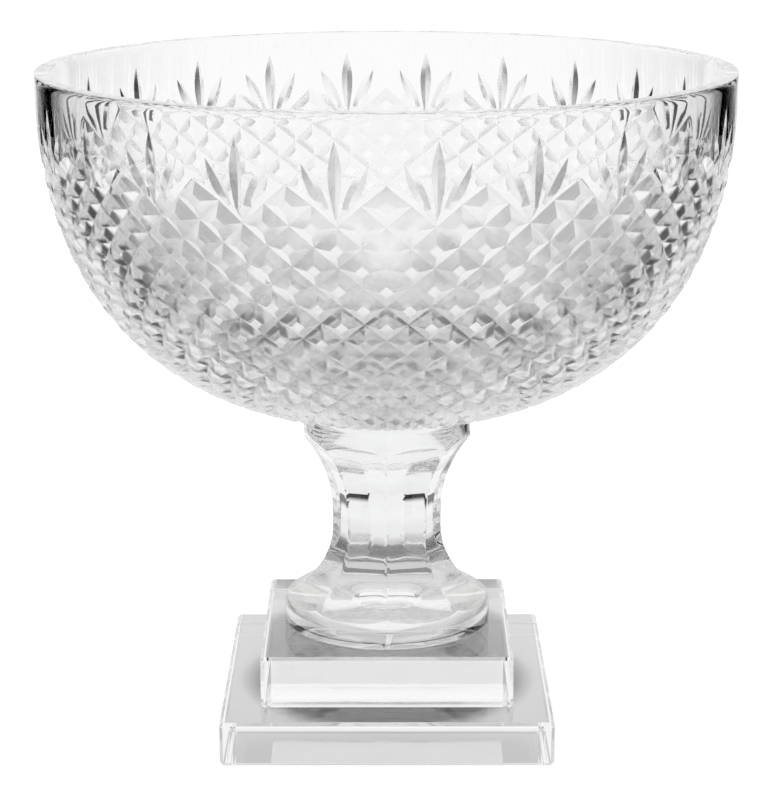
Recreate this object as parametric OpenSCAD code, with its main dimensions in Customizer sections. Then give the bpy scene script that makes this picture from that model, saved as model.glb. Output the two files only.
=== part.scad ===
// Trifle bowl of clear cut crystal, on a panel-cut stem and two square slabs.
// The origin is in the middle of the underside, Z is up and the front faces -Y.

/* [Bowl] */
// Outer diameter of the bowl at its rim
rim_d = 231; // [200:1:250]
// Height of the bowl from its seat to the rim
bowl_h = 116; // [104:1:130]
// Diameter of the flat seat ground under the bowl
seat_d = 57; // [50:0.5:64]
// Fullness of the side: 2 is an ellipse, more is squarer
fullness = 2.38; // [2.1:0.02:2.8]
// Thickness of the glass at the rim
rim_t = 5.2; // [4:0.1:7]
// Thickness of the glass on the axis of the bowl
floor_t = 10; // [8:0.5:14]
// Polished bevel along the edges of the rim, the collar and the foot
edge_bevel = 0.6; // [0.2:0.1:1]

/* [Diamonds] */
// Number of fans round the bowl, with two diamonds to each
fan_count = 24; // [18:1:28]
// Distance down the glass from the rim to the point of a fan
fan_drop = 34.6; // [32:0.2:38]
// Distance down the glass from one row of crossings to the next
row_step = 6.7; // [6:0.1:7.5]
// Angle between the two flanks of a cut
cut_angle = 112; // [100:1:130]
// Share of a diamond that stays uncut as a small flat on top
flat_share = 0.3; // [0.15:0.01:0.45]
// Least width of the plain ring between the diamonds and the seat
seat_ring = 1.5; // [1:0.1:4]

/* [Fans] */
// Length of the middle petal of a fan
mid_petal = 26.6; // [22:0.2:28]
// Length of the two petals beside it
side_petal = 22.3; // [19:0.1:24]
// Lean of those two petals away from the middle one
side_lean = 26; // [20:1:30]
// Greatest width of these three petals
petal_w = 4; // [3:0.1:5]

/* [Stem] */
// Height of the stem
stem_h = 75; // [70:1:90]
// Diameter of the round collar under the bowl
collar_d = 57; // [52:0.5:62]
// Number of panels cut down the stem
panel_count = 8; // [6:2:10]
// Width of the waist across two opposite panels
waist_w = 34.4; // [30:0.2:38]
// Height of the waist above the foot's underside
waist_z = 33; // [30:0.5:36]
// Height of the straight part of the waist
waist_h = 6; // [3:0.5:10]
// Radius of the hollow above the waist
upper_hollow_r = 41.5; // [38:0.5:50]
// Radius of the hollow below the waist
lower_hollow_r = 25.6; // [24:0.2:27]
// Diameter of the round foot
foot_d = 71; // [66:1:78]
// Height of the foot's upright edge
foot_edge_h = 6; // [4:0.5:7]
// Radius of the shoulder above that edge
shoulder_r = 6; // [4:0.5:7]
// Diameter of the dimple ground under the foot
dimple_d = 17; // [12:0.5:24]
// Depth of that dimple
dimple_depth = 1.2; // [0.6:0.1:2]

/* [Plinth] */
// Width of the upper slab
upper_w = 84.4; // [80:0.2:92]
// Thickness of the upper slab
upper_h = 17.8; // [14:0.2:24]
// Width of the lower slab
lower_w = 110.6; // [100:0.2:124]
// Thickness of the lower slab
lower_h = 15; // [12:0.5:20]
// Polished bevel along the slabs' edges
slab_bevel = 1; // [0.4:0.1:1.6]

/* [Bonds] */
// Thickness of each film of adhesive
bond_t = 0.2; // [0.1:0.05:0.4]
// How far a film stays back from the edges of the glass
bond_inset = 0.8; // [0.4:0.1:2]

/* [Hidden] */
$fn = 96;

// Heights at which the blocks and films are stacked
upper_z = lower_h + bond_t;
stem_z = upper_z + upper_h + bond_t;
bowl_z = stem_z + stem_h + bond_t;

// Cuts run past the glass by this much
overrun = rim_t;

// Outer side of the bowl as a squared ellipse, from the rim down to the seat
rim_r = rim_d / 2;
seat_r = seat_d / 2;
seat_turn = acos(pow(seat_r / rim_r, fullness / 2));
side_h = bowl_h / pow(sin(seat_turn), 2 / fullness);
side_steps = 120;
side = [for (i = [0:side_steps]) let (u = seat_turn * i / side_steps)
    [rim_r * pow(cos(u), 2 / fullness), bowl_h - side_h * pow(sin(u), 2 / fullness)]];

// Length along that side from the rim to each of its points
side_len = [for (i = 0, s = 0; i <= side_steps; s = s + (i < side_steps ? norm(side[i + 1] - side[i]) : 0),
    i = i + 1) s];
r_by_len = [for (i = [0:side_steps]) [side_len[i], side[i][0]]];
z_by_len = [for (i = [0:side_steps]) [side_len[i], side[i][1]]];
function side_point(s) = [lookup(s, r_by_len), lookup(s, z_by_len)];

// A point turned from the front, a way down the glass, and sunk below its surface
probe = edge_bevel / 2;
function glass_point(turn, s, sunk) =
    let (along = side_point(s + probe) - side_point(s - probe),
        outward = [-along[1], along[0]] / norm(along),
        p = side_point(s) - sunk * outward)
    [p[0] * sin(turn), -p[0] * cos(turn), bowl_z + p[1]];

// Grid of the diamonds: half a diamond's width is two quarter turns wide and one row step high.
// The front lies midway between two fans, and row 0 runs through the points of the fans.
diamond_count = 2 * fan_count;
quarter = 360 / (4 * fan_count);
phase = -2 * quarter;
rows = floor((side_len[side_steps] - seat_ring - fan_drop) / row_step);
slope = tan(cut_angle / 2);
function odd(j) = abs(j) % 2;
function row_s(j) = fan_drop + j * row_step;
function half_width(j) = lookup(row_s(j), r_by_len) * 2 * quarter * PI / 180 / 2;
// Width of one flank of a cut, from its bottom to the flat of a diamond
function flank(j) = (1 - flat_share) * half_width(j) * row_step / norm([half_width(j), row_step]);
function crossing(j, i) =
    glass_point(phase + (2 * i + odd(j)) * quarter, row_s(j), j < rows ? flank(j) / slope : 0);
// Corners of the flat on a diamond: left, top, right and bottom
function flat_corner(j, i, c) =
    glass_point(phase + (2 * i + odd(j) + 1 + [-1, 0, 1, 0][c] * flat_share) * quarter,
        row_s(j) + [0, -1, 0, 1][c] * flat_share * row_step, 0);

// A fan is laid out flat: x to the right and y up from its point, in millimetres.
// Its cuts are the middle petal, a side petal and the outer petal, which goes on from the diamonds.
mm_per_degree = lookup(fan_drop, r_by_len) * PI / 180;
outer_tip = [2 * quarter * mm_per_degree, 2 * row_step];
tips = [[0, mid_petal], side_petal * [sin(side_lean), cos(side_lean)], outer_tip];
leans = [for (tip = tips) atan2(tip[0], tip[1])];
petal_steps = 5;
// The petals swell past their middle and the outer one thins out towards its tip
swell = 1.4;
thinning = 3;
function half_w(k, t) = k < 2 ? petal_w / 2 * sin(180 * pow(t, swell)) : flank(0) * (1 - pow(t, thinning));
// How deep the cut towards a tip goes at a point
function sunk_by(p, tip, k) =
    let (t = max(0, min(1, p * tip / (tip * tip))), away = norm(cross([p[0], p[1], 0], [tip[0], tip[1], 0])))
    p * tip < 0 ? 0 : (half_w(k, t) - away / norm(tip)) / slope;
function mirrored(tip) = [-tip[0], tip[1]];
function sunk(p) = max([0, for (k = [0:2]) each [sunk_by(p, tips[k], k), sunk_by(p, mirrored(tips[k]), k)]]);
// Lines of a half fan: each follows the bottom of a cut or one of its edges.
// A line is the cut that it follows, and -1, 0 or 1 for its left edge, bottom or right edge.
fan_lines = [[0, 0], [0, 1], [1, -1], [1, 0], [1, 1], [2, -1]];
crowding_share = 0.48;
function spread(k, t) =
    min(atan(half_w(k, t) / (t * norm(tips[k]))), crowding_share * (k < 2 ? leans[k + 1] - leans[k]
        : leans[k] - leans[k - 1]));
function line_point(l, t) =
    let (k = fan_lines[l][0], lean = leans[k] + fan_lines[l][1] * spread(k, t))
    t * norm(tips[k]) * [sin(lean), cos(lean)];
function on_fan(f, p) =
    glass_point(phase + 4 * f * quarter + p[0] / mm_per_degree, fan_drop - p[1], sunk(p));

// Points of the cut side, in order: crossings, flats, and then a block for each fan.
// A block holds the tips' meeting point beside the fan, the flat below it, and the lines of both halves.
inner = petal_steps - 1;
half_block = 5 * inner + 1;
fan_block = 6 + inner + 2 * half_block;
flats_from = (rows + 2) * diamond_count;
fans_from = flats_from + 4 * rows * diamond_count;
rings_from = fans_from + fan_count * fan_block;
rim_steps = 6 * fan_count;
cut_points = [
    for (j = [-1:rows], i = [0:diamond_count - 1]) crossing(j, i),
    for (j = [0:rows - 1], i = [0:diamond_count - 1], c = [0:3]) flat_corner(j, i, c),
    for (f = [0:fan_count - 1]) each [
        glass_point(phase + (4 * f + 2) * quarter, row_s(-2), 0),
        for (c = [0:3]) flat_corner(-1, 2 * f, c),
        on_fan(f, tips[0]),
        for (i = [1:inner]) on_fan(f, line_point(0, i / petal_steps)),
        for (way = [1, -1]) each [
            on_fan(f, [way * tips[1][0], tips[1][1]]),
            for (l = [1:5], i = [1:inner]) let (p = line_point(l, i / petal_steps))
                on_fan(f, [way * p[0], p[1]])
        ]
    ],
    for (s = [(fan_drop - mid_petal) / 2, edge_bevel], i = [0:rim_steps - 1])
        glass_point(phase + 360 * i / rim_steps - 2 * quarter, s, 0),
    for (i = [0:rim_steps - 1])
        let (p = glass_point(phase + 360 * i / rim_steps - 2 * quarter, 0, edge_bevel))
        [p[0], p[1], bowl_z + bowl_h],
    for (i = [0:diamond_count - 1]) let (turn = phase + (2 * i + odd(rows)) * quarter)
        [seat_r * sin(turn), -seat_r * cos(turn), bowl_z]
];
function at_crossing(j, i) = (j + 1) * diamond_count + (i + diamond_count) % diamond_count;
function at_flat(j, i, c) = flats_from + 4 * (j * diamond_count + i) + c % 4;
function at_fan(f, n) = fans_from + ((f + fan_count) % fan_count) * fan_block + n;
function at_ring(n, i) = rings_from + n * rim_steps + i % rim_steps;
function at_seat(i) = rings_from + 3 * rim_steps + i % diamond_count;

// Triangles between two lines of points, without those that have no width
function stitched(a, b) =
    let (na = len(a) - 1, nb = len(b) - 1, all = [
        for (i = [0:na - 1]) [a[i], a[i + 1], b[max(0, ceil((i + 0.5) * nb / na - 0.5))]],
        for (j = [0:nb - 1]) [b[j + 1], b[j], a[floor((j + 0.5) * na / nb + 0.5)]]
    ])
    [for (t = all) if (t[0] != t[1] && t[1] != t[2] && t[2] != t[0]) t];
function turned_over(faces) = [for (t = faces) [t[2], t[1], t[0]]];

// The four flanks and the flat of a diamond, from its corners: left, top, right and bottom
function diamond(corners, flats) = [
    for (c = [0:3]) let (d = (c + 1) % 4) each [
        [corners[c], flats[d], flats[c]],
        [corners[c], corners[d], flats[d]]
    ],
    [flats[0], flats[1], flats[2]],
    [flats[0], flats[2], flats[3]]
];
// Half a fan as a set of lines that start at its point and end at the tips
function half_fan(f, way) =
    let (point = at_crossing(0, 2 * f), half = 6 + inner + (way > 0 ? 0 : half_block),
        meeting = at_fan(way > 0 ? f : f - 1, 0),
        ends = [at_fan(f, 5), at_fan(f, 5), at_fan(f, half), at_fan(f, half), at_fan(f, half), meeting],
        lines = [
            for (l = [0:5]) [point, for (i = [0:inner - 1])
                at_fan(f, l == 0 ? 6 + i : half + 1 + (l - 1) * inner + i), ends[l]],
            [point, at_crossing(-1, way > 0 ? 2 * f : 2 * f - 1), meeting]
        ],
        faces = [for (l = [0:5]) each stitched(lines[l], lines[l + 1])])
    way > 0 ? faces : turned_over(faces);
tip_line = [at_fan(-1, 0), for (f = [0:fan_count - 1]) each
    [at_fan(f, 6 + inner + half_block), at_fan(f, 5), at_fan(f, 6 + inner), at_fan(f, 0)]];
function ring(n) = [for (i = [0:rim_steps]) at_ring(n, i)];
cut_faces = [
    for (j = [0:rows - 1], i = [0:diamond_count - 1]) each diamond(
        [at_crossing(j, i), at_crossing(j - 1, i + odd(j)),
            at_crossing(j, i + 1), at_crossing(j + 1, i + odd(j))],
        [for (c = [0:3]) at_flat(j, i, c)]),
    for (f = [0:fan_count - 1]) each [
        each diamond(
            [at_crossing(-1, 2 * f), at_fan(f, 0), at_crossing(-1, 2 * f + 1), at_crossing(0, 2 * f + 1)],
            [for (c = [1:4]) at_fan(f, c)]),
        each half_fan(f, 1),
        each half_fan(f, -1)
    ],
    each turned_over(stitched(tip_line, ring(0))),
    each turned_over(stitched(ring(0), ring(1))),
    each turned_over(stitched(ring(1), ring(2))),
    [for (i = [rim_steps - 1:-1:0]) at_ring(2, i)],
    for (i = [0:diamond_count - 1]) each [
        [at_crossing(rows - 1, i + odd(rows)), at_crossing(rows, i + 1), at_crossing(rows, i)],
        [at_crossing(rows, i), at_crossing(rows, i + 1), at_seat(i + 1)],
        [at_crossing(rows, i), at_seat(i + 1), at_seat(i)]
    ],
    [for (i = [0:diamond_count - 1]) at_seat(i)]
];

// Smooth hollow of the bowl: its outline closes on the axis, and flares along the rim's inner bevel
hollow_r = rim_r - rim_t;
hollow_h = bowl_h - floor_t;
hollow_turn = asin(pow(edge_bevel / hollow_h, fullness / 2));
hollow_steps = 48;
hollow = [
    for (i = [0:hollow_steps]) let (u = hollow_turn + (90 - hollow_turn) * i / hollow_steps)
        [hollow_r * pow(cos(u), 2 / fullness), bowl_h - hollow_h * pow(sin(u), 2 / fullness)],
    [0, bowl_h + overrun],
    [hollow_r + edge_bevel + overrun, bowl_h + overrun]
];

// Bowl: cut outside, smooth inside
module bowl() {
    color([0.86, 0.88, 0.89, 0.6])
        difference() {
            polyhedron(cut_points, cut_faces, convexity = 6);
            translate([0, 0, bowl_z])
                rotate_extrude()
                    polygon(hollow);
        }
}

// Round blank of the stem: foot, shoulder and a column that the panels take down
shoulder_turn = 60;
shoulder_steps = 8;
foot_r = foot_d / 2;
collar_r = collar_d / 2;
module stem_blank() {
    shoulder = [for (i = [0:shoulder_steps]) let (a = shoulder_turn * i / shoulder_steps)
        [foot_r - shoulder_r * (1 - cos(a)), foot_edge_h + shoulder_r * sin(a)]];
    rotate_extrude()
        polygon([
            [0, 0],
            [foot_r - edge_bevel, 0],
            [foot_r, edge_bevel],
            each shoulder,
            [collar_r, foot_edge_h + 2 * shoulder_r],
            [collar_r, stem_h - edge_bevel],
            [collar_r - edge_bevel, stem_h],
            [0, stem_h]
        ]);
}

// One panel: the waist, with a round hollow above and another below
module panel_cut() {
    reach = foot_d;
    waist_r = waist_w / 2;
    translate([-reach / 2, -waist_r - reach, waist_z])
        cube([reach, reach, waist_h]);
    intersection() {
        translate([0, -waist_r - upper_hollow_r, waist_z + waist_h])
            rotate([0, 90, 0])
                cylinder(r = upper_hollow_r, h = reach, center = true);
        translate([-reach / 2, -waist_r - reach, waist_z + waist_h])
            cube([reach, reach, stem_h]);
    }
    intersection() {
        translate([0, -waist_r - lower_hollow_r, waist_z])
            rotate([0, 90, 0])
                cylinder(r = lower_hollow_r, h = reach, center = true);
        translate([-reach / 2, -waist_r - reach, 0])
            cube([reach, reach, waist_z]);
    }
}

// Stem: the blank, cut into panels that leave one sharp edge at the front
module stem() {
    dimple_r = (dimple_depth + dimple_d * dimple_d / 4 / dimple_depth) / 2;
    color([0.9, 0.91, 0.92, 0.6])
        translate([0, 0, stem_z])
            difference() {
                stem_blank();
                for (i = [0:panel_count - 1])
                    rotate([0, 0, 360 * (i + 0.5) / panel_count])
                        panel_cut();
                translate([0, 0, dimple_depth - dimple_r])
                    sphere(r = dimple_r);
            }
}

// A slab of glass with a bevel along all its edges
module slab(w, h) {
    intersection() {
        bevelled_bar(w, w, h);
        translate([0, 0, h / 2]) {
            rotate([90, 0, 90])
                translate([0, 0, -w / 2])
                    bevelled_bar(w, h, w);
            rotate([90, 0, 0])
                translate([0, 0, -w / 2])
                    bevelled_bar(w, h, w);
        }
    }
}
module bevelled_bar(w, d, h) {
    x = w / 2;
    y = d / 2;
    b = slab_bevel;
    linear_extrude(h)
        polygon([
            [b - x, -y], [x - b, -y], [x, b - y], [x, y - b],
            [x - b, y], [b - x, y], [-x, y - b], [-x, b - y]
        ]);
}

// Upper slab, which carries the stem
module upper_plinth() {
    color([0.84, 0.86, 0.87, 0.6])
        translate([0, 0, upper_z])
            slab(upper_w, upper_h);
}

// Lower slab, which the whole piece stands on
module lower_plinth() {
    color([0.82, 0.84, 0.85, 0.6])
        slab(lower_w, lower_h);
}

// Film between the bowl's seat and the stem's collar
module bowl_bond() {
    color([0.93, 0.93, 0.9, 0.6])
        translate([0, 0, bowl_z - bond_t])
            cylinder(r = min(seat_r, collar_r - edge_bevel) - bond_inset, h = bond_t);
}

// Film under the foot, a ring round the dimple
module stem_bond() {
    color([0.93, 0.93, 0.9, 0.6])
        translate([0, 0, stem_z - bond_t])
            difference() {
                cylinder(r = foot_r - edge_bevel - bond_inset, h = bond_t);
                translate([0, 0, -bond_t])
                    cylinder(r = dimple_d / 2 + bond_inset, h = 3 * bond_t);
            }
}

// Film between the two slabs
module plinth_bond() {
    w = upper_w - 2 * slab_bevel - 2 * bond_inset;
    color([0.93, 0.93, 0.9, 0.6])
        translate([-w / 2, -w / 2, lower_h])
            cube([w, w, bond_t]);
}

bowl();
stem();
upper_plinth();
lower_plinth();
bowl_bond();
stem_bond();
plinth_bond();
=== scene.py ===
# Trifle bowl of clear cut crystal: a deep round bowl covered in diamonds and fans, bonded to a
# panel-cut stem that stands on two square slabs. Metres, Z up, and the front faces -Y.
import math

import bmesh
import bpy
import numpy as np
from mathutils import Matrix, Vector
from mathutils.geometry import delaunay_2d_cdt


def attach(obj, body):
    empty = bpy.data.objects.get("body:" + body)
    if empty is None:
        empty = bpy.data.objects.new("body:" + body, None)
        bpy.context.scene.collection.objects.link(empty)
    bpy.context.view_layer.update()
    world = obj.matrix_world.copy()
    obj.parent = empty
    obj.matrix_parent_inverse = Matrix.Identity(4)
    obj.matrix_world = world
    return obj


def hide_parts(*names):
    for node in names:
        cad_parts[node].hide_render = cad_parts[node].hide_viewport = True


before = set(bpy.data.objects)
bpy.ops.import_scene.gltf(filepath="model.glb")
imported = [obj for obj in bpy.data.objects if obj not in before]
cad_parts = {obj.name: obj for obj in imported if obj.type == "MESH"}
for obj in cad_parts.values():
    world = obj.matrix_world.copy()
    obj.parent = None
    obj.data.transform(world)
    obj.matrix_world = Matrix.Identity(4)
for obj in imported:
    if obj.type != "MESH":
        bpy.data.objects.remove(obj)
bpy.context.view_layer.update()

# Lower slab: a square block of lead crystal, sawn and ground flat on all six
# sides, with a narrow bevel along every edge, then polished. The whole piece
# stands on it.
LOWER_W = 0.1106
LOWER_H = 0.015
SLAB_BEVEL = 0.001
EDGE_SOFTENING = 0.00012
SOFTENED_FROM = math.radians(25)
SOFTENING_STEPS = 2
STILL_FLAT = math.radians(1)
CRYSTAL_IOR = 1.54
CRYSTAL_TINT = (0.992, 0.994, 0.994)
NOISE_LOW, NOISE_HIGH = 0.3, 0.7


def socket(tree, name, kind, value=None, side="INPUT"):
    """A named input or output of a group of nodes."""
    made = tree.interface.new_socket(name, in_out=side, socket_type=kind)
    if value is not None:
        made.default_value = value


def maths(tree, operation, *values):
    """One sum of numbers and of other nodes' results."""
    made = tree.nodes.new("ShaderNodeMath")
    made.operation = operation
    for n, value in enumerate(values):
        if isinstance(value, (int, float)):
            made.inputs[n].default_value = value
        else:
            tree.links.new(value, made.inputs[n])
    return made.outputs[0]


def make_polish_group():
    """What hand polishing leaves in glass: slow waves, the faint lines of the polishing wheel and,
    where the cutting wheel has been, its ripples and a softer shine."""
    tree = bpy.data.node_groups.new("Hand polish", "ShaderNodeTree")
    for name, value in (("Wave size", 0.03), ("Wave height", 0.00003), ("Line size", 0.0008),
                        ("Smoothest", 0.0), ("Roughest", 0.02), ("Ripple size", 0.0025),
                        ("Ripple height", 0.00003), ("Cut roughness", 0.16)):
        socket(tree, name, "NodeSocketFloat", value)
    socket(tree, "Cord", "NodeSocketFloat", None, "OUTPUT")
    socket(tree, "Roughness", "NodeSocketFloat", None, "OUTPUT")
    socket(tree, "Normal", "NodeSocketVector", None, "OUTPUT")
    node, link = tree.nodes.new, tree.links.new
    given, out = node("NodeGroupInput").outputs, node("NodeGroupOutput").inputs
    place, cut = node("ShaderNodeTexCoord").outputs["Object"], node("ShaderNodeAttribute")
    cut.attribute_name = "cut"
    marks = {}
    for name in ("Wave", "Line", "Ripple"):
        mark = node("ShaderNodeTexNoise")
        mark.inputs["Detail"].default_value = 1
        link(place, mark.inputs["Vector"])
        link(maths(tree, "DIVIDE", 1, given[name + " size"]), mark.inputs["Scale"])
        marks[name] = mark.outputs["Fac"]
    lined = node("ShaderNodeMapRange")
    lined.inputs["From Min"].default_value = NOISE_LOW
    lined.inputs["From Max"].default_value = NOISE_HIGH
    link(marks["Line"], lined.inputs["Value"])
    link(given["Smoothest"], lined.inputs["To Min"])
    link(given["Roughest"], lined.inputs["To Max"])
    link(maths(tree, "MULTIPLY_ADD", cut.outputs["Fac"], given["Cut roughness"], lined.outputs["Result"]),
         out["Roughness"])
    waved, rippled = node("ShaderNodeBump"), node("ShaderNodeBump")
    waved.inputs["Strength"].default_value = 1
    link(given["Wave height"], waved.inputs["Distance"])
    link(marks["Wave"], waved.inputs["Height"])
    link(cut.outputs["Fac"], rippled.inputs["Strength"])
    link(given["Ripple height"], rippled.inputs["Distance"])
    link(marks["Ripple"], rippled.inputs["Height"])
    link(waved.outputs["Normal"], rippled.inputs["Normal"])
    link(rippled.outputs["Normal"], out["Normal"])
    link(marks["Wave"], out["Cord"])
    return tree


hand_polish = make_polish_group()


def make_crystal(name, tint, **polish):
    """Clear crystal with faint cords of a deeper tint, and with the given settings of its hand polish."""
    material = bpy.data.materials.new(name)
    material.use_nodes = True
    tree = material.node_tree
    node, link = tree.nodes.new, tree.links.new
    glass = tree.nodes["Principled BSDF"].inputs
    glass["Metallic"].default_value = 0
    glass["IOR"].default_value = CRYSTAL_IOR
    glass["Transmission Weight"].default_value = 1
    polished, cords = node("ShaderNodeGroup"), node("ShaderNodeMix")
    polished.node_tree = hand_polish
    for setting, value in polish.items():
        polished.inputs[setting.replace("_", " ").capitalize()].default_value = value
    cords.data_type = "RGBA"
    link(polished.outputs["Cord"], cords.inputs["Factor"])
    cords.inputs["A"].default_value = (1, 1, 1, 1)
    cords.inputs["B"].default_value = (*[2 * t - 1 for t in tint], 1)
    link(cords.outputs["Result"], glass["Base Color"])
    link(polished.outputs["Roughness"], glass["Roughness"])
    link(polished.outputs["Normal"], glass["Normal"])
    return material


slab_crystal = make_crystal("Polished slab crystal", CRYSTAL_TINT, wave_size=0.035, roughest=0.012)


def finished(name, mesh, material, *nodes, slot="crystal"):
    """A piece with its place in its mesh, which rides on the one body and stands for its nodes."""
    mesh.materials.clear()
    mesh.materials.append(material)
    piece = bpy.data.objects.new(name, mesh)
    bpy.context.scene.collection.objects.link(piece)
    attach(piece, "root")
    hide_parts(*nodes)


def new_mesh(name, points, faces):
    mesh = bpy.data.meshes.new(name)
    mesh.from_pydata(points, [], faces)
    return mesh


def softened(mesh, width):
    """The mesh with a small round along its sharp edges, which keeps the flat sides flat."""
    blank = bpy.data.objects.new("blank", mesh)
    bpy.context.scene.collection.objects.link(blank)
    round_off = blank.modifiers.new("Round", "BEVEL")
    round_off.width = width
    round_off.segments = SOFTENING_STEPS
    round_off.limit_method = "ANGLE"
    round_off.angle_limit = SOFTENED_FROM
    round_off.harden_normals = True
    now = bpy.context.evaluated_depsgraph_get()
    result = bpy.data.meshes.new_from_object(blank.evaluated_get(now), depsgraph=now)
    bpy.data.objects.remove(blank)
    return result


def slab_mesh(name, width, height, bottom):
    """A square block with its ground bevels and softened edges."""
    full, flat = width / 2, width / 2 - SLAB_BEVEL
    points = []
    for reach, side, z in ((flat, flat, bottom), (full, flat, bottom + SLAB_BEVEL),
                           (full, flat, bottom + height - SLAB_BEVEL), (flat, flat, bottom + height)):
        for turn in range(4):
            spin = Matrix.Rotation(turn * math.pi / 2, 3, "Z")
            points += [spin @ Vector((reach, -side, z)), spin @ Vector((reach, side, z))]
    block = bmesh.new()
    corners = [block.verts.new(p) for p in points]
    bmesh.ops.remove_doubles(block, verts=corners, dist=SLAB_BEVEL / 100)
    bmesh.ops.convex_hull(block, input=block.verts)
    bmesh.ops.dissolve_limit(block, angle_limit=STILL_FLAT, verts=block.verts, edges=block.edges)
    bmesh.ops.recalc_face_normals(block, faces=block.faces)
    mesh = bpy.data.meshes.new(name)
    block.to_mesh(mesh)
    block.free()
    mesh.shade_smooth()
    return softened(mesh, EDGE_SOFTENING)


finished("lower_slab", slab_mesh("lower_slab", LOWER_W, LOWER_H, 0), slab_crystal, "lower_plinth")

# Film between the two slabs: clear adhesive cured by light, spread nearly to
# the bevels. It wets both faces, so each film sinks a hair into the glass on
# either side, as a bonded joint has no air in it.
BOND_T = 0.0002
BOND_INSET = 0.0008
WETTING = 0.00003
FILM_SIDES = 96
FILM_TINT = (0.99, 0.99, 0.985)
UPPER_W = 0.0844

film_clear = make_crystal("Clear cured film", FILM_TINT, wave_size=0.004, wave_height=0.000002,
                          roughest=0.01)


def film_mesh(name, outline, bottom, hole=0.0):
    """A thin film with the outline given as a reach for each angle, and a round hole where there is one."""
    mesh = bpy.data.meshes.new(name)
    film = bmesh.new()
    low, high = bottom - WETTING, bottom + BOND_T + WETTING
    turns = [2 * math.pi * i / FILM_SIDES for i in range(FILM_SIDES)]
    rings = [[film.verts.new((reach(t) * math.cos(t), reach(t) * math.sin(t), z)) for t in turns]
             for reach, z in ((outline, low), (outline, high))]
    if hole:
        rings += [[film.verts.new((hole * math.cos(t), hole * math.sin(t), z)) for t in turns]
                  for z in (high, low)]
    else:
        rings += [[film.verts.new((0, 0, high))], [film.verts.new((0, 0, low))]]
    for k in range(4):
        a, b = rings[k], rings[(k + 1) % 4]
        if len(a) == len(b) == 1:
            continue
        for i in range(FILM_SIDES):
            j = (i + 1) % FILM_SIDES
            corners = [a[i % len(a)], a[j % len(a)], b[j % len(b)], b[i % len(b)]]
            film.faces.new(list(dict.fromkeys(corners)))
    bmesh.ops.recalc_face_normals(film, faces=film.faces)
    film.to_mesh(mesh)
    film.free()
    return mesh


def square_reach(width):
    """The outline of a square of a width, as a reach for each angle."""
    return lambda t: width / 2 / max(abs(math.cos(t)), abs(math.sin(t)))


finished("plinth_film",
         film_mesh("plinth_film", square_reach(UPPER_W - 2 * SLAB_BEVEL - 2 * BOND_INSET), LOWER_H),
         film_clear, "plinth_bond", slot="bond")

# Upper slab: a smaller and thicker block of the same crystal, ground and
# polished like the lower one and bonded in the middle of it.
UPPER_H = 0.0178
UPPER_Z = LOWER_H + BOND_T

finished("upper_slab", slab_mesh("upper_slab", UPPER_W, UPPER_H, UPPER_Z), slab_crystal, "upper_plinth")

# Film under the foot: the same clear adhesive, a ring that stops short of the
# foot's edge and of the dimple ground in its middle.
STEM_Z = UPPER_Z + UPPER_H + BOND_T
FOOT_R = 0.0355
EDGE_BEVEL = 0.0006
DIMPLE_R = 0.0085

finished("stem_film",
         film_mesh("stem_film", lambda t: FOOT_R - EDGE_BEVEL - BOND_INSET, STEM_Z - BOND_T,
                   DIMPLE_R + BOND_INSET),
         film_clear, "stem_bond", slot="bond")

# Stem: a solid crystal blank, turned with a round foot and collar, then cut on
# the wheel into eight tall panels that narrow to a waist and meet in sharp
# edges, one of them at the front. A dimple is ground under the foot.
STEM_H = 0.075
COLLAR_R = 0.0285
PANELS = 8
WAIST_R = 0.0172
WAIST_Z = 0.033
WAIST_H = 0.006
UPPER_HOLLOW_R = 0.0415
LOWER_HOLLOW_R = 0.0256
FOOT_EDGE_H = 0.006
SHOULDER_R = 0.006
SHOULDER_TURN = math.radians(60)
DIMPLE_DEPTH = 0.0012
PANEL_COLUMNS = 12
PANEL_ROWS = 90
COLLAR_ROWS = 4
DIMPLE_ROWS = 8
SHOULDER_ROWS = 10
ARRIS_SOFTENING = 0.00015
ARRIS_FROM = math.radians(30)
HALVINGS = 40
WELD_WITHIN = 0.000002
STEM_TINT = (0.94, 0.945, 0.945)


def panel_reach(z):
    """How far a panel lies from the axis at a height."""
    if z > WAIST_Z + WAIST_H:
        return WAIST_R + UPPER_HOLLOW_R - math.sqrt(UPPER_HOLLOW_R ** 2 - (z - WAIST_Z - WAIST_H) ** 2)
    if z < WAIST_Z:
        return WAIST_R + LOWER_HOLLOW_R - math.sqrt(LOWER_HOLLOW_R ** 2 - (WAIST_Z - z) ** 2)
    return WAIST_R


def shoulder_point(turn):
    """Reach and height of a point on the foot's round shoulder."""
    return FOOT_R - SHOULDER_R * (1 - math.cos(turn)), FOOT_EDGE_H + SHOULDER_R * math.sin(turn)


def panel_foot(lean):
    """The turn along the foot's shoulder at which a panel begins, at an angle from the panel's middle."""
    low, high = 0.0, SHOULDER_TURN
    for _ in range(HALVINGS):
        middle = (low + high) / 2
        reach, z = shoulder_point(middle)
        outside = WAIST_Z - z < LOWER_HOLLOW_R and panel_reach(z) < reach * math.cos(lean)
        low, high = (low, middle) if outside else (middle, high)
    return high


def panel_top(lean):
    """The height at which a panel runs out under the collar."""
    left = WAIST_R + UPPER_HOLLOW_R - COLLAR_R * math.cos(lean)
    return WAIST_Z + WAIST_H + math.sqrt(UPPER_HOLLOW_R ** 2 - left ** 2)


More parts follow.
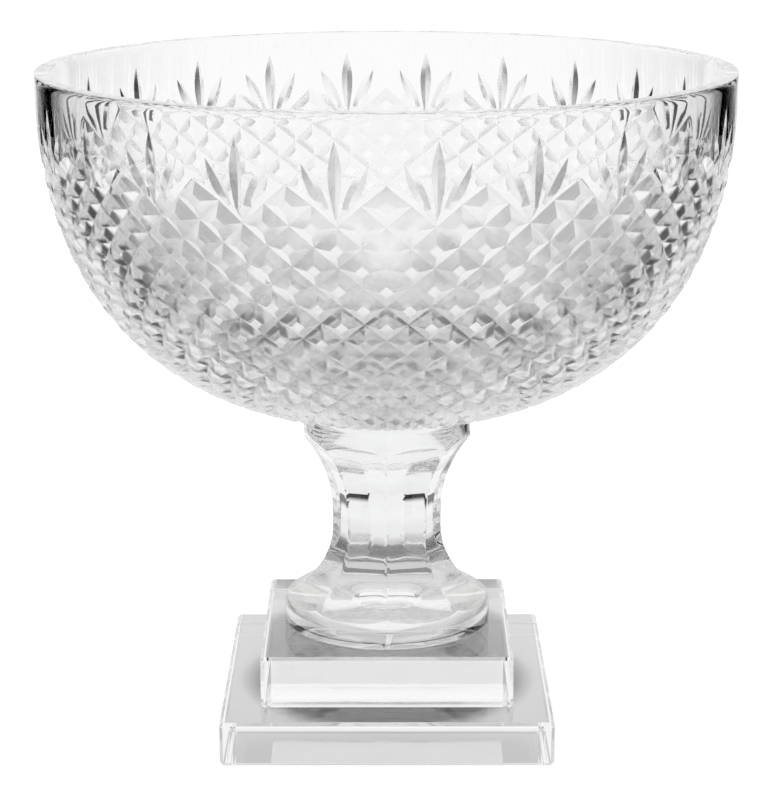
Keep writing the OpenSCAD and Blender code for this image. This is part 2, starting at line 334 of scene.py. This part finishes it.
def stem_column(lean):
    """Points of the stem from the axis below to the axis above, at an angle from the middle of a panel."""
    ball = (DIMPLE_DEPTH ** 2 + DIMPLE_R ** 2) / (2 * DIMPLE_DEPTH)
    column = [(r, DIMPLE_DEPTH - ball + math.sqrt(ball ** 2 - r ** 2))
              for r in (DIMPLE_R * i / DIMPLE_ROWS for i in range(DIMPLE_ROWS + 1))]
    column += [((DIMPLE_R + FOOT_R) / 2, 0.0), (FOOT_R - EDGE_BEVEL, 0.0), (FOOT_R, EDGE_BEVEL)]
    begins = panel_foot(lean)
    column += [shoulder_point(begins * i / SHOULDER_ROWS) for i in range(SHOULDER_ROWS + 1)]
    bottom, top = column[-1][1], panel_top(lean)
    for i in range(1, PANEL_ROWS):
        z = bottom + (top - bottom) * (1 - math.cos(math.pi * i / PANEL_ROWS)) / 2
        column.append((panel_reach(z) / math.cos(lean), z))
    column += [(COLLAR_R, top + (STEM_H - EDGE_BEVEL - top) * i / COLLAR_ROWS)
               for i in range(COLLAR_ROWS + 1)]
    column += [(COLLAR_R - EDGE_BEVEL, STEM_H), (COLLAR_R / 2, STEM_H), (0.0, STEM_H)]
    return column


def panel_sector():
    """One panel of the stem with its share of foot and collar, as a wedge that begins at the front."""
    half = math.pi / PANELS
    columns = []
    for i in range(PANEL_COLUMNS + 1):
        lean = half * (2 * i / PANEL_COLUMNS - 1)
        columns.append([(r * math.sin(half + lean), -r * math.cos(half + lean), STEM_Z + z)
                        for r, z in stem_column(lean)])
    tall = len(columns[0])
    faces = []
    for c in range(PANEL_COLUMNS):
        for i in range(tall - 1):
            a, b = c * tall + i, (c + 1) * tall + i
            corners = [a, b, b + 1, a + 1]
            if i == 0:
                corners.remove(b)
            if i == tall - 2:
                corners.remove(b + 1)
            faces.append(corners)
    return new_mesh("panel", [point for column in columns for point in column], faces)


def make_repeat_tree():
    """Copies a wedge round the Z axis, welds the copies into one solid and gives it its material."""
    tree = bpy.data.node_groups.new("Repeat round the axis", "GeometryNodeTree")
    socket(tree, "Wedge", "NodeSocketGeometry")
    socket(tree, "Copies", "NodeSocketInt", PANELS)
    socket(tree, "Weld within", "NodeSocketFloat", WELD_WITHIN)
    socket(tree, "Glass", "NodeSocketMaterial")
    socket(tree, "Solid", "NodeSocketGeometry", None, "OUTPUT")
    node, link = tree.nodes.new, tree.links.new
    given, out = node("NodeGroupInput"), node("NodeGroupOutput")
    places = node("GeometryNodeMeshLine")
    places.mode = "OFFSET"
    places.inputs["Offset"].default_value = (0, 0, 0)
    link(given.outputs["Copies"], places.inputs["Count"])
    step = maths(tree, "DIVIDE", 2 * math.pi, given.outputs["Copies"])
    spin = node("ShaderNodeCombineXYZ")
    link(maths(tree, "MULTIPLY", node("GeometryNodeInputIndex").outputs[0], step), spin.inputs["Z"])
    copies = node("GeometryNodeInstanceOnPoints")
    link(places.outputs["Mesh"], copies.inputs["Points"])
    link(given.outputs["Wedge"], copies.inputs["Instance"])
    link(spin.outputs[0], copies.inputs["Rotation"])
    real, weld, dress = (node("GeometryNodeRealizeInstances"), node("GeometryNodeMergeByDistance"),
                         node("GeometryNodeSetMaterial"))
    link(copies.outputs["Instances"], real.inputs["Geometry"])
    link(real.outputs["Geometry"], weld.inputs["Geometry"])
    link(given.outputs["Weld within"], weld.inputs["Distance"])
    link(weld.outputs["Geometry"], dress.inputs["Geometry"])
    link(given.outputs["Glass"], dress.inputs["Material"])
    link(dress.outputs["Geometry"], out.inputs["Solid"])
    return tree


repeat_round_axis = make_repeat_tree()


def grown(mesh, tree, **given):
    """The mesh that a tree of geometry nodes makes of another, with the tree's inputs set by name."""
    seed = bpy.data.objects.new("seed", mesh)
    bpy.context.scene.collection.objects.link(seed)
    step = seed.modifiers.new(tree.name, "NODES")
    step.node_group = tree
    for item in tree.interface.items_tree:
        if item.item_type == "SOCKET" and item.in_out == "INPUT" and item.name in given:
            step[item.identifier] = given[item.name]
    now = bpy.context.evaluated_depsgraph_get()
    result = bpy.data.meshes.new_from_object(seed.evaluated_get(now), depsgraph=now)
    seed.modifiers.remove(step)
    bpy.data.objects.remove(seed)
    return result


stem_crystal = make_crystal("Panel-cut crystal", STEM_TINT, wave_size=0.018, wave_height=0.00002,
                            roughest=0.012)
stem_mesh = grown(panel_sector(), repeat_round_axis, Copies=PANELS, Glass=stem_crystal)
stem_mesh.shade_smooth()
stem_mesh = softened(stem_mesh, ARRIS_SOFTENING)
stem_mesh.set_sharp_from_angle(angle=ARRIS_FROM)
finished("stem", stem_mesh, stem_crystal, "stem")

# Film between stem and bowl: a disc of the same adhesive, a little smaller
# than the collar and the ground seat that it joins.
BOWL_Z = STEM_Z + STEM_H + BOND_T
SEAT_R = 0.0285

finished("bowl_film",
         film_mesh("bowl_film", lambda t: min(SEAT_R, COLLAR_R - EDGE_BEVEL) - BOND_INSET, BOWL_Z - BOND_T),
         film_clear, "bowl_bond", slot="bond")

# Bowl: thick blown crystal with a smooth hollow and a polished rim. The wheel
# cut its outside into a net of V grooves that leave small flat-topped
# diamonds, and into a row of five-petal fans that open below the rim.
RIM_R = 0.1155
BOWL_H = 0.116
FULLNESS = 2.38
RIM_T = 0.0052
FLOOR_T = 0.010
FANS = 24
FAN_DROP = 0.0346
ROW_STEP = 0.0067
CUT_ANGLE = math.radians(112)
FLANK_SLOPE = math.tan(CUT_ANGLE / 2)
FLAT_SHARE = 0.3
SEAT_RING = 0.0015
MID_PETAL = 0.0266
SIDE_PETAL = 0.0223
SIDE_LEAN = math.radians(26)
PETAL_W = 0.004
SWELL = 1.4
THINNING = 3
CROWDING_SHARE = 0.48
PETAL_STEPS = 10
PLAIN_ROWS = 14
PLAIN_FROM, PLAIN_RISE = 1.3, 0.6
QUARTER = math.pi / (2 * FANS)
SEAT_TURN = math.acos((SEAT_R / RIM_R) ** (FULLNESS / 2))
SIDE_H = BOWL_H / math.sin(SEAT_TURN) ** (2 / FULLNESS)
BAND_COLUMNS = 12
HOLLOW_ROWS = 90
ROUND_STEPS = 4
SIDE_SAMPLES = 2001
HOLLOW_SAMPLES = 4001
CURVE_POINTS = 1200
SAME_PLACE = 1e-6
FACETS_FROM = math.radians(12)
WALL_TINT = (0.997, 0.998, 0.998)


def squared_ellipse(turn, reach, drop):
    """Reach and height along one of the bowl's two curves, from the rim down."""
    power = 2 / FULLNESS
    return np.stack([reach * np.cos(turn) ** power, BOWL_H - drop * np.sin(turn) ** power], -1)


side = squared_ellipse(np.linspace(0, SEAT_TURN, SIDE_SAMPLES), RIM_R, SIDE_H)
side_down = np.concatenate([[0], np.cumsum(np.linalg.norm(np.diff(side, axis=0), axis=1))])
ROWS = int((side_down[-1] - SEAT_RING - FAN_DROP) / ROW_STEP)


def row_down(j):
    """How far down the glass from the rim a row of crossings lies."""
    return FAN_DROP + j * ROW_STEP


def half_width(j):
    """Half the width of the diamonds of a row."""
    return float(np.interp(row_down(j), side_down, side[:, 0])) * QUARTER


def flank(j):
    """Width of one flank of a groove at a row, from its bottom to the flat of a diamond."""
    return (1 - FLAT_SHARE) * half_width(j) * ROW_STEP / math.hypot(half_width(j), ROW_STEP)


metres_per_turn = float(np.interp(FAN_DROP, side_down, side[:, 0]))
tips = [(0.0, MID_PETAL), (SIDE_PETAL * math.sin(SIDE_LEAN), SIDE_PETAL * math.cos(SIDE_LEAN)),
        (2 * QUARTER * metres_per_turn, 2 * ROW_STEP)]
lengths = [math.hypot(*tip) for tip in tips]
leans = [math.atan2(*tip) for tip in tips]


def petal_half_width(k, share):
    """Half the width of a cut of the fan at a share of its length; the third kind is a diamond's groove."""
    if k < 2:
        return PETAL_W / 2 * math.sin(math.pi * share ** SWELL)
    return flank(0) * (1 - share ** THINNING)


def sunk(x, y):
    """How deep the fan's cuts go at a point laid flat, x to the right and y up from the fan's point."""
    depth = 0.0
    for k, (tip_x, tip_y) in enumerate(tips):
        along = abs(x) * tip_x + y * tip_y
        if along >= 0:
            away = abs(abs(x) * tip_y - y * tip_x) / lengths[k]
            share = min(1.0, along / lengths[k] ** 2)
            depth = max(depth, (petal_half_width(k, share) - away) / FLANK_SLOPE)
    return depth


class Relief:
    """Points and faces of one fan's share of the bowl. A point on the side is a turn, a way down the
    glass and a depth; any other is a turn, a reach from the axis and a height."""

    def __init__(self):
        self.points, self.on_side, self.faces, self.cut, self.known = [], [], [], [], {}

    def at(self, turn, down, depth, on_side=True):
        key = (round(turn, 6), round(down, 7), round(depth, 7), on_side)
        if key not in self.known:
            self.known[key] = len(self.points)
            self.points.append((turn, down, depth))
            self.on_side.append(on_side)
        return self.known[key]

    def face(self, corners, cut):
        corners = list(dict.fromkeys(corners))
        if len(corners) > 2:
            self.faces.append(corners)
            self.cut.append(cut)


relief = Relief()


def crossing(j, i):
    """Where two grooves cross."""
    depth = flank(j) / FLANK_SLOPE if j < ROWS else 0.0
    return relief.at((2 * i + j % 2) * QUARTER, row_down(j), depth)


def diamond(j, i):
    """One diamond: four flanks and the flat on top."""
    corners = [crossing(j, i), crossing(j - 1, i + j % 2), crossing(j, i + 1), crossing(j + 1, i + j % 2)]
    middle = (2 * i + j % 2 + 1) * QUARTER
    flats = [relief.at(middle + x * FLAT_SHARE * QUARTER, row_down(j) + y * FLAT_SHARE * ROW_STEP, 0.0)
             for x, y in ((-1, 0), (0, -1), (1, 0), (0, 1))]
    for c in range(4):
        d = (c + 1) % 4
        relief.face([corners[c], flats[c], flats[d], corners[d]], 1.0)
    relief.face(flats[::-1], 1.0)


for j in range(ROWS):
    for i in (-1, 0):
        diamond(j, i)
diamond(-1, 0)


def fan_line(k, edge):
    """The bottom of a petal, or one of its edges, from the fan's point to the petal's tip."""
    line = []
    for step in range(1, PETAL_STEPS):
        share = step / PETAL_STEPS
        lean = leans[k]
        if edge:
            low = 1 if k == 2 or edge < 0 else 0
            gap = leans[k + 1 - low] - leans[k - low]
            spread = math.atan(petal_half_width(k, share) / (share * lengths[k]))
            lean += edge * min(spread, CROWDING_SHARE * gap)
        line.append((share * lengths[k] * math.sin(lean), share * lengths[k] * math.cos(lean)))
    return [(0.0, 0.0)] + line + [tips[k]]


def fan_field():
    """The whole fan and the plain glass about it, up to the rim, as triangles between its lines."""
    width = 2 * QUARTER * metres_per_turn
    top = FAN_DROP - EDGE_BEVEL
    points, edges = [], []

    def add_line(line):
        start = len(points)
        points.extend(line)
        edges.extend((start + n, start + n + 1) for n in range(len(line) - 1))

    right = [(width, 2 * ROW_STEP + (top - 2 * ROW_STEP) * n / PLAIN_ROWS) for n in range(PLAIN_ROWS + 1)]
    roof = [(width * (1 - 2 * n / BAND_COLUMNS), top) for n in range(1, BAND_COLUMNS)]
    outline = [(0.0, 0.0), (width / 2, ROW_STEP), *right, *roof, *[(-x, y) for x, y in right[::-1]],
               (-width / 2, ROW_STEP)]
    points.extend(outline)
    edges.extend((n, (n + 1) % len(outline)) for n in range(len(outline)))
    for sign in (1, -1):
        for k, edge in ((0, 1), (1, -1), (1, 0), (1, 1), (2, -1)):
            add_line([(sign * x, y) for x, y in fan_line(k, edge)])
    add_line(fan_line(0, 0))
    for n in range(1, PLAIN_ROWS):
        for m in range(1, BAND_COLUMNS):
            x, y = width * (2 * m / BAND_COLUMNS - 1), top * n / PLAIN_ROWS
            if y > ROW_STEP * PLAIN_FROM + abs(x) * PLAIN_RISE and sunk(x, y) <= 0:
                points.append((x, y))
    made = delaunay_2d_cdt([Vector(p) for p in points], edges, [list(range(len(outline)))], 1,
                           SAME_PLACE / 10)
    placed = []
    for x, y in made[0]:
        depth = max(0.0, sunk(x, y))
        if math.hypot(abs(x) - width / 2, y - ROW_STEP) < SAME_PLACE:
            depth = flank(-1) / FLANK_SLOPE
        if abs(y) + abs(x) < SAME_PLACE:
            depth = flank(0) / FLANK_SLOPE
        placed.append(relief.at(x / metres_per_turn, FAN_DROP - y, depth))
    for triangle in made[2]:
        middle = sum((made[0][n] for n in triangle), Vector((0, 0))) / 3
        relief.face([placed[n] for n in triangle], 1.0 if sunk(*middle) > SAME_PLACE else 0.0)


fan_field()


def spun_lines(lines):
    """Faces between lines that run across the wedge, from the rim's outside; each is a reach and a height."""
    turns = [2 * QUARTER * (2 * n / BAND_COLUMNS - 1) for n in range(BAND_COLUMNS + 1)]
    rows = [[relief.at(turn, EDGE_BEVEL, 0.0) for turn in turns]]
    for reach, height in lines:
        rows.append([relief.at(turn if reach else 0.0, reach, height, False) for turn in turns])
    for low, high in zip(rows, rows[1:]):
        for n in range(BAND_COLUMNS):
            relief.face([low[n], low[n + 1], high[n + 1], high[n]], 0.0)


rim_round = [math.pi / 2 * n / ROUND_STEPS for n in range(1, ROUND_STEPS + 1)]
hollow_r, hollow_h = RIM_R - RIM_T, BOWL_H - FLOOR_T
hollow = squared_ellipse(np.linspace(0, math.pi / 2, HOLLOW_SAMPLES)[1:], hollow_r, hollow_h)
hollow = hollow[hollow[:, 1] < BOWL_H - EDGE_BEVEL]
hollow_down = np.concatenate([[0], np.cumsum(np.linalg.norm(np.diff(hollow, axis=0), axis=1))])
hollow_steps = hollow_down[-1] * np.arange(HOLLOW_ROWS) / HOLLOW_ROWS
hollow_reach, hollow_height = (np.interp(hollow_steps, hollow_down, hollow[:, c]).tolist() for c in (0, 1))
hollow_line = [*zip(hollow_reach, hollow_height), (0.0, FLOOR_T)]
spun_lines(
    [(RIM_R - EDGE_BEVEL * (1 - math.cos(a)), BOWL_H - EDGE_BEVEL * (1 - math.sin(a))) for a in rim_round]
    + [(hollow_r + EDGE_BEVEL * (1 - math.sin(a)), BOWL_H - EDGE_BEVEL * (1 - math.cos(a)))
       for a in [0.0] + rim_round[:-1]]
    + hollow_line)

# The plain ring below the last diamonds, and the seat
for i in (-1, 0):
    relief.face([crossing(ROWS - 1, i + ROWS % 2), crossing(ROWS, i), crossing(ROWS, i + 1)], 1.0)
    near = [relief.at((2 * (i + n) + ROWS % 2) * QUARTER, SEAT_R, 0.0, False) for n in (0, 1)]
    relief.face([crossing(ROWS, i), near[0], near[1], crossing(ROWS, i + 1)], 0.0)
    relief.face([near[0], relief.at(0.0, 0.0, 0.0, False), near[1]], 0.0)

relief_mesh = bpy.data.meshes.new("relief")
relief_mesh.from_pydata(relief.points, [], relief.faces)
relief_mesh.attributes.new("on side", "BOOLEAN", "POINT").data.foreach_set("value", relief.on_side)
relief_mesh.attributes.new("cut", "FLOAT", "FACE").data.foreach_set("value", relief.cut)


def make_wrap_tree():
    """Lays one fan's relief on the bowl's round side, and repeats it round the bowl."""
    tree = bpy.data.node_groups.new("Cut bowl", "GeometryNodeTree")
    socket(tree, "Relief", "NodeSocketGeometry")
    for name, value in (("Rim radius", RIM_R), ("Bowl height", BOWL_H), ("Side height", SIDE_H),
                        ("Fullness", FULLNESS), ("Turn at the seat", SEAT_TURN), ("Lift", BOWL_Z)):
        socket(tree, name, "NodeSocketFloat", value)
    socket(tree, "Fans", "NodeSocketInt", FANS)
    socket(tree, "Glass", "NodeSocketMaterial")
    socket(tree, "Bowl", "NodeSocketGeometry", None, "OUTPUT")
    node, link = tree.nodes.new, tree.links.new
    given, out = node("NodeGroupInput").outputs, node("NodeGroupOutput")

    # The side of the bowl as a curve, from the rim down to the seat
    line, fine, bend = (node("GeometryNodeCurvePrimitiveLine"), node("GeometryNodeResampleCurve"),
                        node("GeometryNodeSetPosition"))
    fine.inputs["Count"].default_value = CURVE_POINTS
    link(line.outputs["Curve"], fine.inputs["Curve"])
    link(fine.outputs["Curve"], bend.inputs["Geometry"])
    along = node("GeometryNodeSplineParameter").outputs["Factor"]
    turn = maths(tree, "MULTIPLY", along, given["Turn at the seat"])
    power = maths(tree, "DIVIDE", 2, given["Fullness"])
    across, down = (maths(tree, "POWER", maths(tree, part, turn), power) for part in ("COSINE", "SINE"))
    reach = maths(tree, "MULTIPLY", across, given["Rim radius"])
    drop = maths(tree, "MULTIPLY", down, given["Side height"])
    bent = node("ShaderNodeCombineXYZ")
    link(reach, bent.inputs["X"])
    link(maths(tree, "SUBTRACT", given["Bowl height"], drop), bent.inputs["Z"])
    link(bent.outputs[0], bend.inputs["Position"])

    # Where each point of the relief comes to lie
    laid, place, where, slope = (node("ShaderNodeSeparateXYZ"), node("GeometryNodeSampleCurve"),
                                 node("ShaderNodeSeparateXYZ"), node("ShaderNodeSeparateXYZ"))
    link(node("GeometryNodeInputPosition").outputs[0], laid.inputs[0])
    place.mode = "LENGTH"
    link(bend.outputs["Geometry"], place.inputs["Curves"])
    link(laid.outputs["Y"], place.inputs["Length"])
    link(place.outputs["Position"], where.inputs[0])
    link(place.outputs["Tangent"], slope.inputs[0])
    side_reach = maths(tree, "MULTIPLY_ADD", slope.outputs["Z"], laid.outputs["Z"], where.outputs["X"])
    fall = maths(tree, "MULTIPLY", slope.outputs["X"], laid.outputs["Z"])
    side_height = maths(tree, "SUBTRACT", where.outputs["Z"], fall)
    on_side = node("GeometryNodeInputNamedAttribute")
    on_side.data_type = "BOOLEAN"
    on_side.inputs["Name"].default_value = "on side"
    chosen = []
    for other, value in ((laid.outputs["Y"], side_reach), (laid.outputs["Z"], side_height)):
        choice = node("GeometryNodeSwitch")
        choice.input_type = "FLOAT"
        link(on_side.outputs["Attribute"], choice.inputs["Switch"])
        link(other, choice.inputs["False"])
        link(value, choice.inputs["True"])
        chosen.append(choice.outputs[0])
    round_place, wrap = node("ShaderNodeCombineXYZ"), node("GeometryNodeSetPosition")
    link(maths(tree, "MULTIPLY", chosen[0], maths(tree, "SINE", laid.outputs["X"])), round_place.inputs["X"])
    to_front = maths(tree, "MULTIPLY", chosen[0], maths(tree, "COSINE", laid.outputs["X"]))
    link(maths(tree, "MULTIPLY", to_front, -1), round_place.inputs["Y"])
    link(maths(tree, "ADD", chosen[1], given["Lift"]), round_place.inputs["Z"])
    link(given["Relief"], wrap.inputs["Geometry"])
    link(round_place.outputs[0], wrap.inputs["Position"])

    all_round = node("GeometryNodeGroup")
    all_round.node_tree = repeat_round_axis
    link(wrap.outputs["Geometry"], all_round.inputs["Wedge"])
    link(given["Fans"], all_round.inputs["Copies"])
    link(given["Glass"], all_round.inputs["Glass"])
    link(all_round.outputs["Solid"], out.inputs["Bowl"])
    return tree


bowl_crystal = make_crystal("Wheel-cut crystal", WALL_TINT, wave_height=0.00004, cut_roughness=0.18)
bowl_mesh = grown(relief_mesh, make_wrap_tree(), Fans=FANS, Glass=bowl_crystal)
bowl_mesh.transform(Matrix.Rotation(-2 * QUARTER, 4, "Z"))
bowl_mesh.shade_smooth()
bowl_mesh.set_sharp_from_angle(angle=FACETS_FROM)
finished("bowl", bowl_mesh, bowl_crystal, "bowl")

# The set: a white paper that runs from behind the bowl to the front on a darker
# table, in a white room, as glass is photographed, and a camera at the
# photograph's angle. Seen through the glass, the paper carries painted shadow:
# nearly black under the slabs, a painted shadow band in front of the foot, and a
# back half painted lighter than the front as if lit from behind. None of it is the bowl.
# Painted shade on the paper, as a tone for each distance from the axis: the lit tones behind the bowl, the
# shaded tones in front with a painted shadow band 85 to 130 mm out, and both nearly black (painted shadow)
# within 44 mm of the axis.
LIT_TONES = ((0.0, 0.04), (0.044, 0.05), (0.052, 0.55), (0.085, 0.6), (0.12, 0.7), (0.14, 0.9),
             (0.25, 0.95), (0.6, 0.97))
SHADED_TONES = ((0.0, 0.04), (0.044, 0.05), (0.052, 0.55), (0.07, 0.5), (0.085, 0.15), (0.13, 0.15),
                (0.16, 0.85), (0.22, 0.92), (0.6, 0.97))
TABLE_TONE = 0.0
ROOM_TONES = ((0.0, 0.92), (0.25, 1.0), (0.9, 1.0), (1.0, 0.85))
PAPER_W, PAPER_SPREAD, PAPER_EDGE = 0.13, 0.38, 0.75
# Where the painted shade goes over from the front's shaded tones to the back's lit tones.
LIT_FROM, LIT_TO = -0.1, 0.6
TABLE_BACK = 0.4
TABLE_NEAR, TABLE_FAR, FRONT_SHARE = 0.5, 0.8, 0.5
SHEET_R = 6
SHEET_Z = -0.0001
SHEET_SIDES = 64
SHADOW_TONE = 0.35
PAPER_GLOW = 0.8
CAMERA_PLACE = (0, -0.82870, 0.320975)
CAMERA_PITCH, CAMERA_PAN, CAMERA_ROLL = 0.248363, -0.001728, -0.001359
SENSOR_W = 36
FOCAL_SHARE = 2506.67 / 800
CLIP_END = 50
BOUNCES = 64


def toned(tree, value, stops):
    """A grey that follows a value through a list of places and tones, the last place being the greatest."""
    ramp = tree.nodes.new("ShaderNodeValToRGB")
    last = stops[-1][0]
    tree.links.new(maths(tree, "DIVIDE", value, last), ramp.inputs["Fac"])
    for n, (place, tone) in enumerate(stops):
        stop = ramp.color_ramp.elements[n] if n < 2 else ramp.color_ramp.elements.new(place / last)
        stop.position, stop.color = place / last, (tone, tone, tone, 1)
    return ramp.outputs["Color"]


def eased(tree, value, low, high):
    """From 0 to 1 while a value goes from low to high, with a soft start and end."""
    spread = tree.nodes.new("ShaderNodeMapRange")
    spread.interpolation_type = "SMOOTHSTEP"
    spread.inputs["From Min"].default_value = low
    spread.inputs["From Max"].default_value = high
    tree.links.new(value, spread.inputs["Value"])
    return spread.outputs["Result"]


def blended(tree, share, a, b):
    """One colour that goes into another; each is a grey, or another node's result."""
    mix = tree.nodes.new("ShaderNodeMix")
    mix.data_type = "RGBA"
    tree.links.new(share, mix.inputs["Factor"])
    for name, value in (("A", a), ("B", b)):
        if isinstance(value, (int, float)):
            mix.inputs[name].default_value = (value, value, value, 1)
        else:
            tree.links.new(value, mix.inputs[name])
    return mix.outputs["Result"]


def make_paper():
    """White to the camera; seen through the glass it is paper in the middle and table at the sides, with
    painted shadow on the paper under the slabs and in front of the foot, and its back half painted lighter.
    """
    paper = bpy.data.materials.new("Paper with painted shade")
    paper.use_nodes = True
    tree = paper.node_tree
    node, link = tree.nodes.new, tree.links.new
    tree.nodes.remove(tree.nodes["Principled BSDF"])
    matt, glow, both = node("ShaderNodeBsdfDiffuse"), node("ShaderNodeEmission"), node("ShaderNodeAddShader")
    ray, apart = node("ShaderNodeLightPath").outputs, node("ShaderNodeSeparateXYZ")
    link(node("ShaderNodeTexCoord").outputs["Object"], apart.inputs[0])
    x, y = maths(tree, "ABSOLUTE", apart.outputs["X"]), apart.outputs["Y"]
    squares = [maths(tree, "MULTIPLY", part, part) for part in (x, y)]
    far = maths(tree, "SQRT", maths(tree, "ADD", *squares))
    edge = maths(tree, "MULTIPLY_ADD", far, PAPER_SPREAD, PAPER_W)
    off_paper = eased(tree, maths(tree, "DIVIDE", x, edge), PAPER_EDGE, 1)
    back = maths(tree, "DIVIDE", y, maths(tree, "ADD", far, PAPER_W / 100))
    # Painted shade: the paper's tone by distance from the axis, blended from the painted shaded front to the
    # painted lit back.
    painted_shade_tone = blended(tree, eased(tree, back, LIT_FROM, LIT_TO), toned(tree, far, SHADED_TONES),
                         toned(tree, far, LIT_TONES))
    close = maths(tree, "SUBTRACT", 1, eased(tree, far, TABLE_NEAR, TABLE_FAR))
    near = maths(tree, "MULTIPLY", close, FRONT_SHARE)
    behind = eased(tree, back, -TABLE_BACK, TABLE_BACK)
    table = maths(tree, "MULTIPLY", off_paper, maths(tree, "MAXIMUM", near, behind))
    seen = blended(tree, table, painted_shade_tone, TABLE_TONE)
    in_glass = maths(tree, "MAXIMUM", ray["Is Glossy Ray"], ray["Is Transmission Ray"])
    through = maths(tree, "MULTIPLY", in_glass, seen)
    straight = maths(tree, "MULTIPLY", ray["Is Camera Ray"], PAPER_GLOW)
    link(maths(tree, "MULTIPLY", ray["Is Camera Ray"], SHADOW_TONE), matt.inputs["Color"])
    link(maths(tree, "MAXIMUM", straight, through), glow.inputs["Strength"])
    link(matt.outputs[0], both.inputs[0])
    link(glow.outputs[0], both.inputs[1])
    link(both.outputs[0], tree.nodes["Material Output"].inputs["Surface"])
    return paper


sheet = bmesh.new()
bmesh.ops.create_circle(sheet, cap_ends=True, segments=SHEET_SIDES, radius=SHEET_R)
floor_mesh = bpy.data.meshes.new("floor")
sheet.to_mesh(floor_mesh)
sheet.free()
floor_mesh.transform(Matrix.Translation((0, 0, SHEET_Z)))
floor_mesh.materials.append(make_paper())
floor = bpy.data.objects.new("floor", floor_mesh)
bpy.context.scene.collection.objects.link(floor)

room = bpy.data.worlds.new("White room")
bpy.context.scene.world = room
room.use_nodes = True
tree = room.node_tree
height = tree.nodes.new("ShaderNodeSeparateXYZ")
tree.links.new(tree.nodes.new("ShaderNodeTexCoord").outputs["Generated"], height.inputs[0])
straight = tree.nodes.new("ShaderNodeLightPath").outputs["Is Camera Ray"]
tree.links.new(blended(tree, straight, toned(tree, height.outputs["Z"], ROOM_TONES), 1),
               tree.nodes["Background"].inputs["Color"])

camera_data = bpy.data.cameras.new("camera")
camera_data.sensor_width = SENSOR_W
camera_data.lens = SENSOR_W * FOCAL_SHARE
camera_data.clip_end = CLIP_END
camera = bpy.data.objects.new("camera", camera_data)
bpy.context.scene.collection.objects.link(camera)
camera.matrix_world = (Matrix.Translation(CAMERA_PLACE) @ Matrix.Rotation(-CAMERA_PAN, 4, "Z")
                       @ Matrix.Rotation(math.pi / 2 - CAMERA_PITCH, 4, "X")
                       @ Matrix.Rotation(CAMERA_ROLL, 4, "Z"))
bpy.context.scene.camera = camera
bpy.context.scene.view_settings.view_transform = "Standard"
light_paths = bpy.context.scene.cycles
light_paths.max_bounces = light_paths.transmission_bounces = light_paths.glossy_bounces = BOUNCES

bpy.context.view_layer.update()
